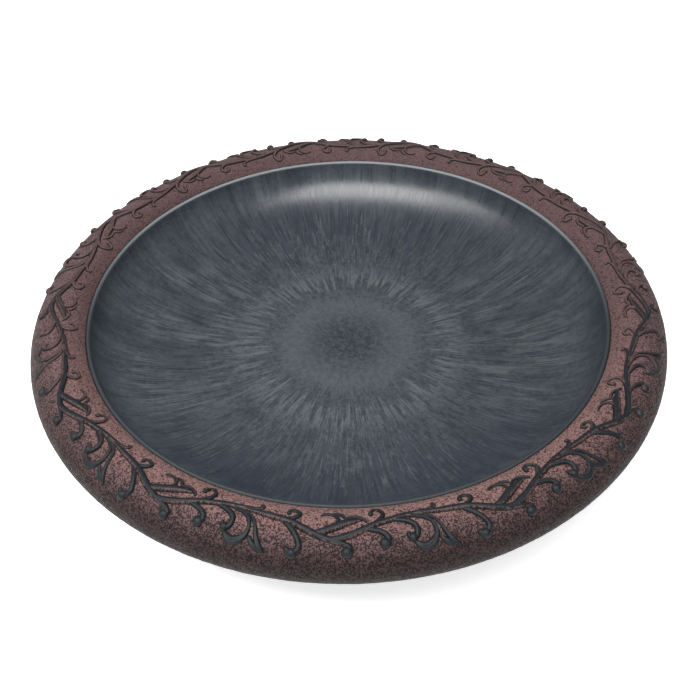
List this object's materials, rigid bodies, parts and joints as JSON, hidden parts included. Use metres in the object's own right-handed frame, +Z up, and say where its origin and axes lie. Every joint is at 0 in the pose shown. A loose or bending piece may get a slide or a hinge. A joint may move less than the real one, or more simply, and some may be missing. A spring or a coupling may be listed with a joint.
{
  "type": "bird bath",
  "caption": "Shallow round bird bath bowl with a broad rolled rim and vine relief, a dark basin, and a twist-on pedestal collar underneath.",
  "frame": {"origin": "middle of the pedestal collar's foot, on the plane that the bowl stands on", "axes": "+Z up through the middle of the basin; -Y is the side towards the viewer"},
  "size_m": [0.52, 0.52, 0.0934],
  "materials": {
    "basin_resin": "dark slate resin, semi-gloss, with lighter radial streaks",
    "rim_resin": "rust-brown textured resin with a darker wash in its pits and on the vine relief",
    "collar_resin": "dark grey resin, satin",
    "screw_steel": "stainless steel, plain"
  },
  "bodies": {
    "root": {"basin": "basin_resin", "rim": "rim_resin", "pedestal_collar": "collar_resin", "rim_screw_1": "screw_steel", "rim_screw_2": "screw_steel", "rim_screw_3": "screw_steel", "rim_screw_4": "screw_steel", "rim_screw_5": "screw_steel", "rim_screw_6": "screw_steel", "rim_screw_7": "screw_steel", "rim_screw_8": "screw_steel", "collar_screw_1": "screw_steel", "collar_screw_2": "screw_steel", "collar_screw_3": "screw_steel", "collar_screw_4": "screw_steel"}
  },
  "joints": []
}
